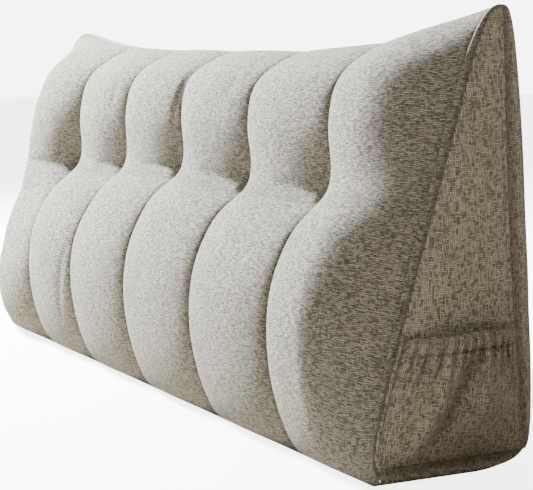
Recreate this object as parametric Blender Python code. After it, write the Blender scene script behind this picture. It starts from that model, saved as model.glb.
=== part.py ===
"""Backrest pillow: a long wedge-shaped cushion in a linen-look cloth.

One filled body has a front drawn in at five points, so that it swells into six
channels. A cloth-covered button sits in each drawn-in point, and a gathered
pocket is sewn on the right end. The pillow stands on its flat underside.

Metres, +Z up. X runs along the length and the pocket is at +X. The channelled
front faces -Y and the back +Y. The origin is on the floor, midway between the
two seams along the foot.
"""
import math
from collections import namedtuple

import bmesh
import bpy
import numpy as np
from mathutils import Matrix, Vector

# Overall sizes, seam to seam
LENGTH = 1.200
HEIGHT = 0.500
BASE_DEPTH = 0.183
TOP_Y = 0.056
FRONT_FOOT_Z = 0.022
BACK_FOOT_Z = 0.023
TOP_SAG = 0.040
TOP_SAG_POWER = 3.6
TOP_TILT = 0.004

HALF = LENGTH / 2
FRONT_FOOT_Y = -BASE_DEPTH / 2
BACK_FOOT_Y = BASE_DEPTH / 2
PANEL = math.hypot(TOP_Y - FRONT_FOOT_Y, HEIGHT - FRONT_FOOT_Z)

# How far each panel swells beyond its seams
END_SEAM_BOW = 0.019
TOP_CORNER_FILL = 1.2
FOOT_CORNER_FILL = 0.8
END_CHANNEL_POWER = 1.6
FRONT_SWELL_POWER = 0.92
BACK_SWELL = 0.045
BACK_SWELL_POWER = 0.21
BACK_SEAM_BOW = 0.005
BACK_END_POWER = 30
END_SWELL = 0.010
END_SWELL_REACH = 0.040
FOOT_ROUNDING = 0.022
BACK_FOOT_ROUNDING = 0.055
FRONT_FOOT_TUCK = 0.004
FOOT_FADE_POWER = 5

# Drawn-in points: where the thread pulls the front in, and the pit round it, which
# reaches further up than down and further towards -X than towards +X
TUFT_ALONG = 0.589
PIT_DEPTH = 0.059
PIT_ACROSS = 0.125
PIT_SKEW = 0.25
PIT_ABOVE = 0.102
PIT_BELOW = 0.050
PIT_SHARPNESS = 1.5
PIT_ROUNDING = 0.012
PIT_REACH_SHARE = 0.75
SEAT_HALF = 0.0145
CREASE_LEAN_TOP = -0.052
CREASE_LEAN_FOOT = 0.075

Tuft = namedtuple("Tuft", "x rise")
TUFTS = (
    Tuft(x=-0.385, rise=-0.010),
    Tuft(x=-0.203, rise=-0.001),
    Tuft(x=-0.010, rise=0.009),
    Tuft(x=0.196, rise=0.003),
    Tuft(x=0.402, rise=-0.001),
)

# The channels between the end seams and the tufts, from -X to +X: how full each
# is at five heights, and how much of the pits reaches its middle
CHANNEL_HEIGHTS = (0.05, 0.25, 0.45, 0.62, 0.93)
Channel = namedtuple("Channel", "foot low belly waist high pit")
CHANNELS = (
    Channel(foot=1.18, low=0.92, belly=0.80, waist=1.02, high=0.98, pit=0.0),
    Channel(foot=1.00, low=1.00, belly=0.98, waist=1.00, high=1.00, pit=1.0),
    Channel(foot=1.00, low=1.01, belly=1.00, waist=1.00, high=1.01, pit=1.0),
    Channel(foot=1.00, low=1.00, belly=1.00, waist=1.00, high=1.00, pit=1.0),
    Channel(foot=1.00, low=1.00, belly=1.00, waist=1.00, high=1.00, pit=1.0),
    Channel(foot=1.00, low=1.00, belly=1.00, waist=1.00, high=1.00, pit=0.7),
)

# The front from its foot (along 0) to its top (along 1): how far a channel's
# crest would stand out with a full swell, and how deep the creases lie in it
FrontRow = namedtuple("FrontRow", "along crest crease")
FRONT_ROWS = (
    FrontRow(along=0.00, crest=0.093, crease=0.045),
    FrontRow(along=0.12, crest=0.099, crease=0.026),
    FrontRow(along=0.30, crest=0.104, crease=0.021),
    FrontRow(along=0.45, crest=0.095, crease=0.020),
    FrontRow(along=0.60, crest=0.089, crease=0.020),
    FrontRow(along=0.75, crest=0.108, crease=0.023),
    FrontRow(along=0.88, crest=0.119, crease=0.023),
    FrontRow(along=1.00, crest=0.092, crease=0.021),
)

# The sewn welt along the seams of both end panels
WELT_WIDTH = 0.0065
WELT_HEIGHT = 0.0026
END_CENTRE = (0.025, 0.185)

# The pocket on the right end
CLOTH = 0.002
SEWN_GAP = 0.0004
POCKET_SIDE_INSET = 0.0025
POCKET_FOOT_INSET = 0.003
POCKET_MOUTH_Z = 0.156
POCKET_MOUTH_RISE = 0.004
POCKET_MOUTH_TILT = 0.005
POCKET_OPEN = 0.0135
POCKET_FULL_UP = 0.45
POCKET_SIDE_POWER = 3
POCKET_LOOSE_POWER = 0.5
HEM_HEIGHT = 0.017
HEM_ROLL = 0.0012
HEM_EVENNESS = 0.7
HEM_ROWS = (0.0, 0.25, 0.65, 1.0)
GATHERS = 12
GATHER_DEPTH = 0.0036
GATHER_LENGTH = 0.030
GATHER_UNEVENNESS = 0.012
GATHER_UNEVEN_WAVES = 2.3
GATHER_LENGTH_WAVES = 3.4
GATHER_LENGTH_SHARE = 0.5

# Long folds of the pocket, as shares across it from its front side and up it
# from its foot
Fold = namedtuple("Fold", "top_across top_up foot_across foot_up height width")
POCKET_FOLDS = (
    Fold(top_across=0.38, top_up=0.90, foot_across=0.18, foot_up=0.04, height=0.0070, width=0.060),
    Fold(top_across=0.56, top_up=0.90, foot_across=0.28, foot_up=0.02, height=-0.0045, width=0.052),
    Fold(top_across=0.70, top_up=0.90, foot_across=0.62, foot_up=0.25, height=0.0070, width=0.085),
    Fold(top_across=0.24, top_up=0.90, foot_across=0.06, foot_up=0.30, height=0.0030, width=0.030),
    Fold(top_across=0.82, top_up=0.92, foot_across=0.94, foot_up=0.42, height=-0.0040, width=0.028),
    Fold(top_across=0.48, top_up=0.34, foot_across=0.80, foot_up=0.03, height=0.0030, width=0.040),
)

# The covered buttons
BUTTON_RADIUS = 0.0125
BUTTON_HEIGHT = 0.0080
BUTTON_RIM = 0.0024
BUTTON_SIDES = 24
SEAT_GAP = 0.0003

# Mesh densities
CHANNEL_STEPS = 4
FRONT_FOOT_STEPS = 11
FRONT_TOP_STEPS = 10
BACK_STEPS = 8
UNDERSIDE_STEPS = 3
END_RINGS = (0.97, 0.85, 0.6, 0.3)
POCKET_COLUMNS_PER_GATHER = 4
POCKET_ROWS = 12

Finish = namedtuple("Finish", "name colour roughness")
BODY_CLOTH = Finish("linen_look_cloth", (0.62, 0.59, 0.54), 0.92)
POCKET_CLOTH = Finish("pocket_cloth", (0.58, 0.55, 0.50), 0.92)
BUTTON_CLOTH = Finish("button_cloth", (0.56, 0.53, 0.48), 0.90)


def clear_scene():
    """Remove every object that the scene starts with."""
    for thing in list(bpy.data.objects):
        bpy.data.objects.remove(thing, do_unlink=True)


def make_material(finish):
    """Make a plain cloth material."""
    material = bpy.data.materials.new(finish.name)
    material.use_nodes = True
    shader = material.node_tree.nodes["Principled BSDF"]
    shader.inputs["Base Color"].default_value = (*finish.colour, 1.0)
    shader.inputs["Roughness"].default_value = finish.roughness
    shader.inputs["Metallic"].default_value = 0.0
    return material


def read_rows(rows, column, along):
    """Read one column of a table at any place, on a smooth curve through its rows."""
    places = np.array([row.along for row in rows])
    values = np.array([getattr(row, column) for row in rows])
    slopes = np.gradient(values, places)
    along = np.clip(along, places[0], places[-1])
    cell = np.clip(np.searchsorted(places, along) - 1, 0, len(rows) - 2)
    width = places[cell + 1] - places[cell]
    t = (along - places[cell]) / width
    start = values[cell] * (1 + 2 * t) * (1 - t) ** 2 + slopes[cell] * width * t * (1 - t) ** 2
    end = values[cell + 1] * t * t * (3 - 2 * t) - slopes[cell + 1] * width * t * t * (1 - t)
    return start + end


def top_height(x):
    """Height of the top edge, which sags between its two ears."""
    sag = TOP_SAG * (1 - np.abs(x / HALF) ** TOP_SAG_POWER)
    return HEIGHT - sag - TOP_TILT * np.sin(math.pi * x / HALF)


def quarter_round(distance, radius):
    """A quarter-round curve, from 0 at an edge to 1 at a radius from it."""
    return np.sqrt(1 - (1 - np.clip(distance / radius, 0, 1)) ** 2)


def settling(x):
    """How far the underside has come down to the floor: 0 at an end seam, 1 further in."""
    return quarter_round(HALF - np.abs(x), FOOT_ROUNDING)


def welt(x):
    """How far the sewn welt stands out beside an end seam."""
    inward = np.clip((HALF - np.abs(x)) / WELT_WIDTH, 0, 1)
    return WELT_HEIGHT * np.sin(math.pi * inward)


def crease_places():
    """Pattern places of the end seams and of the creases between them."""
    return np.array([-HALF] + [tuft.x for tuft in TUFTS] + [HALF])


def front_height(x, along):
    """How far the front stands out from the plane through its foot and top seams.

    x and along are places on the flat pattern, before the creases lean.
    """
    edges = crease_places()
    swell = np.sin(np.arccos(np.clip(1 - 2 * along, -1, 1))) ** FRONT_SWELL_POWER
    crest = read_rows(FRONT_ROWS, "crest", along) * swell
    crease = read_rows(FRONT_ROWS, "crease", along) * np.sqrt(swell)
    corner_fill = TOP_CORNER_FILL * along ** 6 + FOOT_CORNER_FILL * (1 - along) ** 8
    seam = END_SEAM_BOW * swell * (1 + corner_fill)
    channel = np.clip(np.searchsorted(edges, x) - 1, 0, len(edges) - 2)
    left, right = edges[channel], edges[channel + 1]
    half_width = (right - left) / 2
    t = np.clip((x - left) / half_width - 1, -1, 1)
    arch = np.sqrt(1 - t * t)
    middle = 1 - t * t
    fullness = np.ones(np.broadcast(x, along).shape)
    for number, row in enumerate(CHANNELS):
        own = np.interp(along, CHANNEL_HEIGHTS, (row.foot, row.low, row.belly, row.waist, row.high))
        fullness = np.where(channel == number, own, fullness)
    pit_share = np.array([row.pit for row in CHANNELS])[channel]
    crest = crest * (1 - (1 - fullness) * middle)
    # An end channel has a crease on its inner side and a seam on its outer side
    outer = ((channel == 0) & (t < 0)) | ((channel == len(edges) - 2) & (t > 0))
    reach = half_width * PIT_REACH_SHARE * np.where(outer, 1 + t * t, 1 - t * t)
    up = (along - TUFT_ALONG) * PANEL
    pit_across = PIT_ACROSS * (1 + PIT_SKEW * np.sin(math.pi / 2 * t))
    pit_up = np.where(up > 0, PIT_ABOVE, PIT_BELOW)
    distance = np.sqrt((reach / pit_across) ** 2 + (up / pit_up) ** 2 + PIT_ROUNDING)
    pit = PIT_DEPTH * np.exp(-PIT_SHARPNESS * distance) * (1 - (1 - pit_share) * middle)
    inner_height = crest - crease * (1 - arch) - pit
    fade = 1 - np.abs(t) ** END_CHANNEL_POWER
    outer_height = seam + (crest - seam - pit * fade) * fade
    return np.where(outer, outer_height, inner_height)


def seated_height(x, along):
    """The front's height with a small flat seat for the button at each tuft."""
    height = front_height(x, along)
    up = (along - TUFT_ALONG) * PANEL
    for tuft in TUFTS:
        floor = front_height(np.array(tuft.x), np.array(TUFT_ALONG))
        on_seat = np.maximum(np.abs(x - tuft.x), np.abs(up)) < SEAT_HALF * 1.01
        height = np.where(on_seat, floor, height)
    return height


def front_point(x, along):
    """Points of the front panel at places on its flat pattern."""
    x, along = np.broadcast_arrays(np.asarray(x, float), np.asarray(along, float))
    height = seated_height(x, along) + welt(x) * np.sin(math.pi * along) ** 0.25
    rise = np.interp(x, [tuft.x for tuft in TUFTS], [tuft.rise for tuft in TUFTS])
    share = along + rise / PANEL * np.sin(math.pi * along) / math.sin(math.pi * TUFT_ALONG)
    over = along - TUFT_ALONG
    lean = np.where(over > 0, CREASE_LEAN_TOP, -CREASE_LEAN_FOOT) * over
    leaned = x * (1 + 1.5 * lean * (1 - (x / HALF) ** 2))
    run = TOP_Y - FRONT_FOOT_Y
    climb = top_height(leaned) - FRONT_FOOT_Z
    slant = np.hypot(run, climb)
    y = FRONT_FOOT_Y + run * share - climb / slant * height
    z = FRONT_FOOT_Z + climb * share + run / slant * height
    settled = settling(leaned) * (1 - share) ** FOOT_FADE_POWER
    y = y + FRONT_FOOT_TUCK * settled
    z = z - FRONT_FOOT_Z * settled
    return np.stack([leaned, y, np.maximum(z, 0.0)], -1)


def back_point(x, down):
    """Points of the back panel, from the top (down 0) to the foot (down 1)."""
    x, down = np.broadcast_arrays(np.asarray(x, float), np.asarray(down, float))
    ends = np.sqrt(np.clip(1 - np.abs(x / HALF) ** BACK_END_POWER, 0, 1))
    swell = BACK_SWELL * np.clip(np.sin(math.pi * down), 0, 1) ** BACK_SWELL_POWER * ends
    run = BACK_FOOT_Y - TOP_Y
    drop = top_height(x) - BACK_FOOT_Z
    slant = np.hypot(run, drop)
    y = TOP_Y + run * down - BACK_SEAM_BOW * np.sin(math.pi * down) + drop / slant * swell
    z = top_height(x) - drop * down + run / slant * swell
    return np.stack([x, y, z], -1)


def underside_point(x, forward):
    """Points of the underside, from the back foot (0) to the front foot (1)."""
    x, forward = np.broadcast_arrays(np.asarray(x, float), np.asarray(forward, float))
    seam_z = BACK_FOOT_Z + (FRONT_FOOT_Z - BACK_FOOT_Z) * forward
    back_rise = quarter_round(BASE_DEPTH * forward, BACK_FOOT_ROUNDING)
    y = BACK_FOOT_Y - (BASE_DEPTH - FRONT_FOOT_TUCK * settling(x)) * forward
    z = seam_z * (1 - settling(x) * back_rise) - welt(x) * back_rise
    return np.stack([x, y, np.maximum(z, 0.0)], -1)


def body_stations():
    """Pattern places of the body's sections, close together beside creases and end seams."""
    edges = crease_places()
    crease_side = (0.007, SEAT_HALF, 0.030)
    seam_side = (WELT_WIDTH * 0.5, WELT_WIDTH, 0.014, 0.030)
    places = []
    for channel, (left, right) in enumerate(zip(edges[:-1], edges[1:])):
        left_side = seam_side if channel == 0 else crease_side
        right_side = seam_side if channel == len(edges) - 2 else crease_side
        middle = np.linspace(left + left_side[-1], right - right_side[-1], CHANNEL_STEPS + 1)
        places += [left] + [left + step for step in left_side[:-1]]
        places += list(middle)
        places += [right - step for step in reversed(right_side[:-1])]
    return np.array(places + [edges[-1]])


def front_shares():
    """Pattern rows of the front, close together at its foot, its top and the tufts."""
    near = np.array([0.045, 0.028, SEAT_HALF, 0.007]) / PANEL
    low = TUFT_ALONG - near[0]
    high = TUFT_ALONG + near[0]
    foot = low * (1 - np.cos(np.linspace(0, math.pi / 2, FRONT_FOOT_STEPS)))
    top = 1 - (1 - high) * (1 - np.cos(np.linspace(math.pi / 2, 0, FRONT_TOP_STEPS)))
    return np.concatenate([foot, TUFT_ALONG - near[1:], [TUFT_ALONG], TUFT_ALONG + near[:0:-1], top])


def underside_shares():
    """Rows of the underside, close together where it rounds up to the back seam."""
    rise = BACK_FOOT_ROUNDING / BASE_DEPTH
    return np.concatenate([rise * np.array([0.05, 0.2, 0.5]), np.linspace(rise, 1, UNDERSIDE_STEPS + 1)[:-1]])


def body_loop(x):
    """One section of the body as a closed loop: up the front, down the back, along the underside."""
    back_shares = (1 - np.cos(np.linspace(0, math.pi, BACK_STEPS + 1)[1:])) / 2
    front = front_point(x, front_shares())
    back = back_point(x, back_shares)
    under = underside_point(x, underside_shares())
    return np.concatenate([front, back, under])


def front_seam_y(z):
    """Y of an end panel's front seam at a height."""
    seam = front_point(HALF, np.linspace(0, 1, 200))
    return np.interp(z, seam[:, 2], seam[:, 1])


def back_seam_y(z):
    """Y of an end panel's back seam at a height."""
    seam = back_point(HALF, np.linspace(1, 0, 60))
    return np.interp(z, seam[:, 2], seam[:, 1])


def end_swell(y, z):
    """How far an end panel stands out beyond its seams at a place on it."""
    swell = END_SWELL
    for inset in (y - front_seam_y(z), back_seam_y(z) - y, z - FRONT_FOOT_Z):
        swell = swell * np.tanh(np.maximum(inset, 0) / END_SWELL_REACH)
    return swell


def mesh_object(name, work, finish, parent):
    """Turn a bmesh into a named object with its own material."""
    bmesh.ops.recalc_face_normals(work, faces=work.faces)
    mesh = bpy.data.meshes.new(name)
    work.to_mesh(mesh)
    work.free()
    mesh.shade_smooth()
    mesh.materials.append(make_material(finish))
    thing = bpy.data.objects.new(name, mesh)
    bpy.context.collection.objects.link(thing)
    thing.parent = parent
    return thing


def add_loop(work, points):
    """Add a loop of vertices."""
    return [work.verts.new(tuple(point)) for point in points]


def bridge(work, first, second, closed=True):
    """Join two loops of the same length with four-sided faces."""
    count = len(first) if closed else len(first) - 1
    for here in range(count):
        after = (here + 1) % len(first)
        work.faces.new((first[here], first[after], second[after], second[here]))


def close_end(work, loop, side):
    """Close one end of the body with rings that swell outwards."""
    centre = np.array(END_CENTRE)
    seam = np.array([vert.co[:] for vert in loop])
    previous = loop
    for share in END_RINGS:
        ring = seam.copy()
        ring[:, 1:] = centre + (seam[:, 1:] - centre) * share
        ring[:, 0] = side * (HALF + end_swell(ring[:, 1], ring[:, 2]))
        current = add_loop(work, ring)
        bridge(work, previous, current)
        previous = current
    middle = work.verts.new((side * (HALF + end_swell(*centre)), *centre))
    for here, vert in enumerate(previous):
        work.faces.new((vert, previous[(here + 1) % len(previous)], middle))


def build_cushion(parent):
    """The filled body: sections from end to end, closed by the two end panels."""
    work = bmesh.new()
    loops = [add_loop(work, body_loop(x)) for x in body_stations()]
    for first, second in zip(loops, loops[1:]):
        bridge(work, first, second)
    close_end(work, loops[0], -1)
    close_end(work, loops[-1], 1)
    return mesh_object("cushion", work, BODY_CLOTH, parent)


def pocket_folds(across, up):
    """Height of the pocket's long folds, each a soft ridge along a slanting line."""
    height = np.zeros_like(across)
    for fold in POCKET_FOLDS:
        way = np.clip((fold.top_up - up) / (fold.top_up - fold.foot_up), 0, 1)
        middle = fold.top_across + (fold.foot_across - fold.top_across) * way
        ridge = np.exp(-(((across - middle) / fold.width) ** 2))
        height += fold.height * ridge * np.sin(math.pi * way) ** 0.7
    return height


def pocket_gathers(across, below_hem):
    """Height of the gathers at the hem, which die away unevenly below it."""
    shift = GATHER_UNEVENNESS * np.sin(2 * math.pi * GATHER_UNEVEN_WAVES * across)
    turn = 2 * math.pi * GATHERS * (across + shift)
    uneven = np.sin(2 * math.pi * GATHER_LENGTH_WAVES * across + 1)
    length = GATHER_LENGTH * (1 + GATHER_LENGTH_SHARE * uneven)
    fade = np.exp(-((below_hem / length) ** 2))
    return GATHER_DEPTH * fade * (1 - np.cos(turn)) / 2


def pocket_sheet(lift):
    """Grid of points of the pocket cloth, a given thickness out from its inner face."""
    columns = np.linspace(0, 1, GATHERS * POCKET_COLUMNS_PER_GATHER + 1)
    hem_up = 1 - HEM_HEIGHT / (POCKET_MOUTH_Z - FRONT_FOOT_Z)
    hem_rows = hem_up + (1 - hem_up) * np.array(HEM_ROWS)
    rows = np.append(np.linspace(0, hem_up, POCKET_ROWS - 3, endpoint=False), hem_rows)
    across, up = np.meshgrid(columns, rows, indexing="ij")
    foot_z = FRONT_FOOT_Z + (BACK_FOOT_Z - FRONT_FOOT_Z) * across + POCKET_FOOT_INSET
    mouth_z = (POCKET_MOUTH_Z + POCKET_MOUTH_RISE * np.sin(math.pi * across)
               + POCKET_MOUTH_TILT * across ** 2)
    z = foot_z + (mouth_z - foot_z) * up
    near_y = front_seam_y(z) + POCKET_SIDE_INSET
    far_y = back_seam_y(z) - POCKET_SIDE_INSET
    y = near_y + (far_y - near_y) * across
    # The mouth is held open, and the cloth falls in to its sewn sides and foot
    sides = 1 - np.abs(2 * across - 1) ** POCKET_SIDE_POWER
    foot = 1 - (1 - np.clip(up / POCKET_FULL_UP, 0, 1)) ** 2
    loose = np.sin(math.pi * across) ** POCKET_LOOSE_POWER
    below_hem = np.maximum(hem_up - up, 0) * (POCKET_MOUTH_Z - FRONT_FOOT_Z)
    gathers = pocket_gathers(across, below_hem) * np.where(up > hem_up, HEM_EVENNESS, 1.0)
    relief = (gathers + pocket_folds(across, up)) * loose
    x = HALF + end_swell(y, z) + SEWN_GAP + POCKET_OPEN * sides * foot + relief + lift
    if lift:
        from_hem_middle = (up - (1 + hem_up) / 2) / ((1 - hem_up) / 2)
        x = x + HEM_ROLL * np.exp(-from_hem_middle ** 2) * loose
    return np.stack([x, y, z], -1)


def build_pocket(parent):
    """The gathered pocket: a thin sheet sewn at its sides and foot, open at its mouth."""
    work = bmesh.new()
    inner = [add_loop(work, column) for column in pocket_sheet(0.0)]
    outer = [add_loop(work, column) for column in pocket_sheet(CLOTH)]
    for sheet in (inner, outer):
        for first, second in zip(sheet, sheet[1:]):
            bridge(work, first, second, closed=False)
    bridge(work, inner[0], outer[0], closed=False)
    bridge(work, inner[-1], outer[-1], closed=False)
    for row in (0, -1):
        bridge(work, [column[row] for column in inner], [column[row] for column in outer], closed=False)
    return mesh_object("pocket", work, POCKET_CLOTH, parent)


def seat_frame(tuft):
    """Place and turn of a button: its centre on the seat and its axis square to it."""
    step = SEAT_HALF * 0.9
    centre = Vector(front_point(tuft.x, TUFT_ALONG))
    side = Vector(front_point(tuft.x + step, TUFT_ALONG)) - Vector(front_point(tuft.x - step, TUFT_ALONG))
    up = (Vector(front_point(tuft.x, TUFT_ALONG + step / PANEL))
          - Vector(front_point(tuft.x, TUFT_ALONG - step / PANEL)))
    normal = side.cross(up).normalized()
    side.normalize()
    turn = Matrix((side, normal.cross(side), normal)).transposed().to_4x4()
    return Matrix.Translation(centre + normal * SEAT_GAP) @ turn


def button_profile():
    """Half section of a covered button, from the middle of its flat base to its crown."""
    flank = BUTTON_RADIUS * 0.95
    crown = [(BUTTON_RADIUS * math.cos(angle), BUTTON_RIM + (BUTTON_HEIGHT - BUTTON_RIM) * math.sin(angle))
             for angle in np.linspace(0, math.pi / 2, 6)[:-1]]
    return [(0.0, 0.0), (flank, 0.0)] + crown + [(0.0, BUTTON_HEIGHT)]


def build_button(number, tuft, parent):
    """One cloth-covered domed button, turned round its own axis."""
    work = bmesh.new()
    profile = [work.verts.new((radius, 0.0, height)) for radius, height in button_profile()]
    edges = [work.edges.new(pair) for pair in zip(profile, profile[1:])]
    bmesh.ops.spin(work, geom=profile + edges, cent=(0, 0, 0), axis=(0, 0, 1),
                   angle=2 * math.pi, steps=BUTTON_SIDES)
    bmesh.ops.remove_doubles(work, verts=work.verts, dist=0.00001)
    button = mesh_object(f"button_{number}", work, BUTTON_CLOTH, parent)
    button.matrix_world = seat_frame(tuft)
    return button


def main():
    """Build the pillow's pieces under one empty."""
    clear_scene()
    pillow = bpy.data.objects.new("backrest_pillow", None)
    bpy.context.collection.objects.link(pillow)
    build_cushion(pillow)
    build_pocket(pillow)
    for number, tuft in enumerate(TUFTS, start=1):
        build_button(number, tuft, pillow)
    bpy.context.view_layer.update()


main()
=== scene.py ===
"""Backrest pillow: the looks.

A long wedge-shaped cushion in a slubby linen-look cloth stands on a pale floor.
Five covered buttons draw its front in, so that it swells into six channels, and
a gathered pocket is sewn on its right end.

Metres, +Z up. X runs along the length and the pocket is at +X. The channelled
front faces -Y and the back +Y. The origin is on the floor, midway between the
two seams along the foot.
"""
import logging
import math
from dataclasses import dataclass
from enum import Enum
from typing import Any, Optional, Sequence, Union

import bmesh
import bpy
import numpy as np
from mathutils import Matrix, Vector


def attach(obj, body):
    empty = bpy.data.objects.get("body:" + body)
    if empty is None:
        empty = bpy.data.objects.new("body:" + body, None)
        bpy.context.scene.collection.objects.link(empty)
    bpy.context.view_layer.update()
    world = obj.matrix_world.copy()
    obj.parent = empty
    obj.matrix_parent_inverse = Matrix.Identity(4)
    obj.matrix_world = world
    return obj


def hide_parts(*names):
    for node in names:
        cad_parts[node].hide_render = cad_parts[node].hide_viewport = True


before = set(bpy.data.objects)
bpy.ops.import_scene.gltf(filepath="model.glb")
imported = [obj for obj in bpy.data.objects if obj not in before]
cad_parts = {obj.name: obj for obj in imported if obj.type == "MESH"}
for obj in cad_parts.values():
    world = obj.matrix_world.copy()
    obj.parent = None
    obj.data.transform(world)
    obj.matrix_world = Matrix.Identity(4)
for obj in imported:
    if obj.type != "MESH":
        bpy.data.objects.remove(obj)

LOG = logging.getLogger("backrest_pillow")
BODY = "root"
WEAVE_MAP = "weave"
# Name of the point attribute that carries the painted shade
PAINTED_SHADE = "painted_depth_shade"

Array = np.ndarray
Number = Union[float, "Value"]


class Panel(Enum):
    """The cut panels of the body, each with its own place on the cloth."""

    FRONT = (0.0, 0.0)
    BACK = (3.1, 0.7)
    UNDERSIDE = (1.3, 2.9)
    LEFT_END = (5.2, 4.4)
    RIGHT_END = (7.7, 1.6)
    POCKET = (9.3, 6.1)
    BUTTON = (11.9, 3.3)


@dataclass(frozen=True)
class Tuft:
    """A point where a thread draws the front in."""

    x: float
    rise: float


@dataclass(frozen=True)
class Channel:
    """A swelling between two creases or between a crease and an end seam.

    foot, low, belly, waist and high say how full it is at five heights, where 1 is
    the front's own fullness. pit is how much of the pits reaches its middle.
    """

    foot: float = 1.0
    low: float = 1.0
    belly: float = 1.0
    waist: float = 1.0
    high: float = 1.0
    pit: float = 1.0


@dataclass(frozen=True)
class FrontRow:
    """How full the front is, and how deep its creases are, at a share of the way up."""

    along: float
    crest: float
    crease: float


@dataclass(frozen=True)
class Fold:
    """A soft ridge or trough in the front, along a bent line on its pattern.

    Places are (x, share of the way up the front). A negative height is a trough.
    """

    start: tuple[float, float]
    middle: tuple[float, float]
    end: tuple[float, float]
    width: float
    height: float


@dataclass(frozen=True)
class PocketFold:
    """A long fold of the pocket, as shares across it and up it."""

    top: tuple[float, float]
    foot: tuple[float, float]
    width: float
    height: float


class Curves:
    """Small formulas that the panels share."""

    @staticmethod
    def quarter_round(distance: Array, radius: float) -> Array:
        """Rise from 0 at an edge to 1 at a radius from it, as a quarter circle does."""
        return np.sqrt(1 - (1 - np.clip(distance / radius, 0, 1)) ** 2)

    @staticmethod
    def bump(distance: Array, width: float) -> Array:
        """Fall smoothly from 1 at no distance to 0 far away."""
        return np.exp(-((distance / width) ** 2))

    @staticmethod
    def smooth_read(places: Array, values: Array, at: Array) -> Array:
        """Read a table at any place, on a smooth curve through its rows."""
        slopes = np.gradient(values, places)
        at = np.clip(at, places[0], places[-1])
        cell = np.clip(np.searchsorted(places, at) - 1, 0, len(places) - 2)
        width = places[cell + 1] - places[cell]
        t = (at - places[cell]) / width
        start = values[cell] * (1 + 2 * t) * (1 - t) ** 2 + slopes[cell] * width * t * (1 - t) ** 2
        end = values[cell + 1] * t * t * (3 - 2 * t) - slopes[cell + 1] * width * t * t * (1 - t)
        return start + end

    @staticmethod
    def ripple(u: Array, v: Array, lengths: Sequence[float], seed: float) -> Array:
        """A gentle unevenness, the sum of a few long slanting waves.

        Args:
            u: First place on the cloth, in metres.
            v: Second place on the cloth, in metres.
            lengths: Length of each wave.
            seed: Turns the waves, so that panels differ.

        Returns:
            Heights between about -1 and 1.
        """
        total = np.zeros(np.broadcast(u, v).shape)
        for number, length in enumerate(lengths):
            angle = seed * 2.4 + number * 2.399
            across = u * math.cos(angle) + v * math.sin(angle)
            other = v * math.cos(angle) - u * math.sin(angle)
            bend = 0.35 * length * np.sin(2 * math.pi * other / (length * 2.3) + seed)
            total = total + np.sin(2 * math.pi * (across + bend) / length + seed * 5.1 + number)
        return total / len(lengths)

    @staticmethod
    def spaced(marks: Sequence[tuple[float, float, float]], start: float, stop: float, wide: float) -> Array:
        """Places from start to stop, closer together near each mark.

        Args:
            marks: (place, spacing there, reach) of each mark.
            start: First place.
            stop: Last place.
            wide: Spacing away from every mark.

        Returns:
            The places, with every mark among them.
        """
        fine = np.linspace(start, stop, 20001)
        spacing = np.full_like(fine, wide)
        for place, near, reach in marks:
            away = np.clip(np.abs(fine - place) / reach, 0, 1)
            spacing = np.minimum(spacing, near + (wide - near) * away ** 1.3)
        stops = sorted({start, stop, *(place for place, _, _ in marks if start < place < stop)})
        count = np.concatenate([[0], np.cumsum(np.diff(fine) / ((spacing[1:] + spacing[:-1]) / 2))])
        places = []
        for low, high in zip(stops, stops[1:]):
            first, last = np.interp([low, high], fine, count)
            steps = max(1, int(round(last - first)))
            places.append(np.interp(np.linspace(first, last, steps + 1)[:-1], count, fine))
        return np.concatenate(places + [np.array([stop])])


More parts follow.
